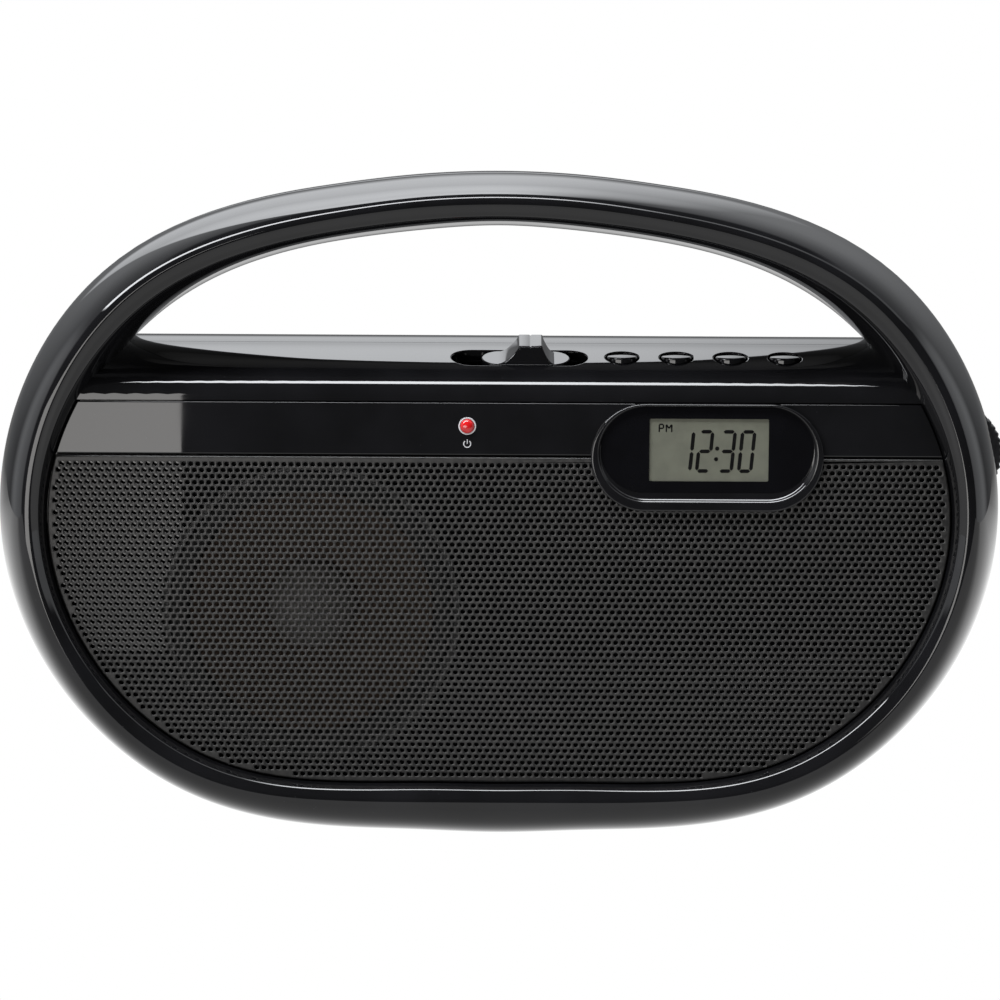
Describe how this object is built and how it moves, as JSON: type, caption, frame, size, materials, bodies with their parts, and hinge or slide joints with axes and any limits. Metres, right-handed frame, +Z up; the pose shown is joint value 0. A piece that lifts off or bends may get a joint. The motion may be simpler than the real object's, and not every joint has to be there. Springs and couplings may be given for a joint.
{
  "type": "portable radio",
  "caption": "Oval portable radio with a hoop carry handle, a perforated grille over one loudspeaker, a clock display, top keys, a function lever and side thumbwheels.",
  "frame": {"origin": "centre of the footprint, on the floor under the rubber feet", "axes": "+X to the right as seen from the front, +Y towards the back, +Z up"},
  "size_m": [0.247, 0.062, 0.1609],
  "materials": {
    "gloss_black": "polished",
    "satin_black": "satin",
    "grille_black": "satin, perforated",
    "window": "polished, smoked",
    "lcd": "grey-green",
    "red_lens": "polished, translucent",
    "rubber": "matt",
    "steel": "plain",
    "chrome": "polished",
    "board": "satin",
    "ferrite": "matt",
    "paper": "matt"
  },
  "bodies": {
    "cabinet": {"antenna_base": "satin_black", "battery_contact_left": "steel", "battery_contact_right": "steel", "case_screw_1": "steel", "case_screw_2": "steel", "case_screw_3": "steel", "case_screw_4": "steel", "case_screw_5": "steel", "case_screw_6": "steel", "display_bezel": "gloss_black", "display_board": "board", "display_lens": "window", "ferrite_rod": "ferrite", "foot_1": "rubber", "foot_2": "rubber", "foot_3": "rubber", "foot_4": "rubber", "front_cabinet": "gloss_black", "front_panel": "gloss_black", "function_switch": "steel", "headphone_jack": "chrome", "key_board": "board", "lcd_module": "lcd", "main_board": "board", "mains_inlet": "satin_black", "power_light": "red_lens", "rear_cabinet": "gloss_black", "speaker_basket": "steel", "speaker_grille": "grille_black", "speaker_magnet": "ferrite", "speaker_surround": "rubber", "tact_switch_1": "satin_black", "tact_switch_2": "satin_black", "tact_switch_3": "satin_black", "tact_switch_4": "satin_black", "transformer": "steel", "tuning_capacitor": "satin_black", "volume_control": "steel"},
    "key_1": {"key_1": "gloss_black"},
    "key_2": {"key_2": "gloss_black"},
    "key_3": {"key_3": "gloss_black"},
    "key_4": {"key_4": "gloss_black"},
    "lever": {"function_lever": "gloss_black", "switch_slider": "steel"},
    "tuning_wheel": {"tuning_wheel": "satin_black"},
    "volume_wheel": {"volume_wheel": "satin_black"},
    "battery_door": {"battery_door": "satin_black"},
    "cone": {"speaker_cone": "paper", "dust_cap": "paper"},
    "antenna_knuckle": {"antenna_knuckle": "chrome"},
    "antenna_tube_1": {"antenna_tube_1": "chrome"},
    "antenna_tube_2": {"antenna_tube_2": "chrome"},
    "antenna_tube_3": {"antenna_tube_3": "chrome"},
    "antenna_tip": {"antenna_tip": "chrome"}
  },
  "joints": [
    {"name": "key_1_press", "type": "slide", "parent": "cabinet", "child": "key_1", "axis": [0, 0, -1], "range_m": [0, 0.0008], "stiffness_N_per_m": 1500, "springref_m": -0.0003},
    {"name": "key_2_press", "type": "slide", "parent": "cabinet", "child": "key_2", "axis": [0, 0, -1], "range_m": [0, 0.0008], "stiffness_N_per_m": 1500, "springref_m": -0.0003},
    {"name": "key_3_press", "type": "slide", "parent": "cabinet", "child": "key_3", "axis": [0, 0, -1], "range_m": [0, 0.0008], "stiffness_N_per_m": 1500, "springref_m": -0.0003},
    {"name": "key_4_press", "type": "slide", "parent": "cabinet", "child": "key_4", "axis": [0, 0, -1], "range_m": [0, 0.0008], "stiffness_N_per_m": 1500, "springref_m": -0.0003},
    {"name": "lever_slide", "type": "slide", "parent": "cabinet", "child": "lever", "axis": [1, 0, 0], "range_m": [-0.007, 0.004]},
    {"name": "tuning_turn", "type": "hinge", "parent": "cabinet", "child": "tuning_wheel", "pos_m": [0.1124, 0.0075, 0.0916], "axis": [0, 1, 0], "range_deg": [-90, 90]},
    {"name": "volume_turn", "type": "hinge", "parent": "cabinet", "child": "volume_wheel", "pos_m": [0.1076, 0.0185, 0.0916], "axis": [0, 1, 0], "range_deg": [0, 270]},
    {"name": "battery_door_open", "type": "hinge", "parent": "cabinet", "child": "battery_door", "pos_m": [0.034, 0.0299, 0.0825], "axis": [1, 0, 0], "range_deg": [0, 100]},
    {"name": "cone_move", "type": "slide", "parent": "cabinet", "child": "cone", "axis": [0, 1, 0], "range_m": [-0.001, 0.001], "stiffness_N_per_m": 1500},
    {"name": "antenna_swivel", "type": "hinge", "parent": "cabinet", "child": "antenna_knuckle", "pos_m": [0.08, 0.0282, 0.1067], "axis": [1, 0, 0], "range_deg": [-60, 60]},
    {"name": "antenna_fold", "type": "hinge", "parent": "antenna_knuckle", "child": "antenna_tube_1", "pos_m": [0.071, 0.0282, 0.1067], "axis": [0, 0, -1], "range_deg": [0, 90]},
    {"name": "antenna_tube_2_extend", "type": "slide", "parent": "antenna_tube_1", "child": "antenna_tube_2", "axis": [-1, 0, 0], "range_m": [0, 0.12]},
    {"name": "antenna_tube_3_extend", "type": "slide", "parent": "antenna_tube_2", "child": "antenna_tube_3", "axis": [-1, 0, 0], "range_m": [0, 0.12]},
    {"name": "antenna_tip_extend", "type": "slide", "parent": "antenna_tube_3", "child": "antenna_tip", "axis": [-1, 0, 0], "range_m": [0, 0.12]}
  ]
}
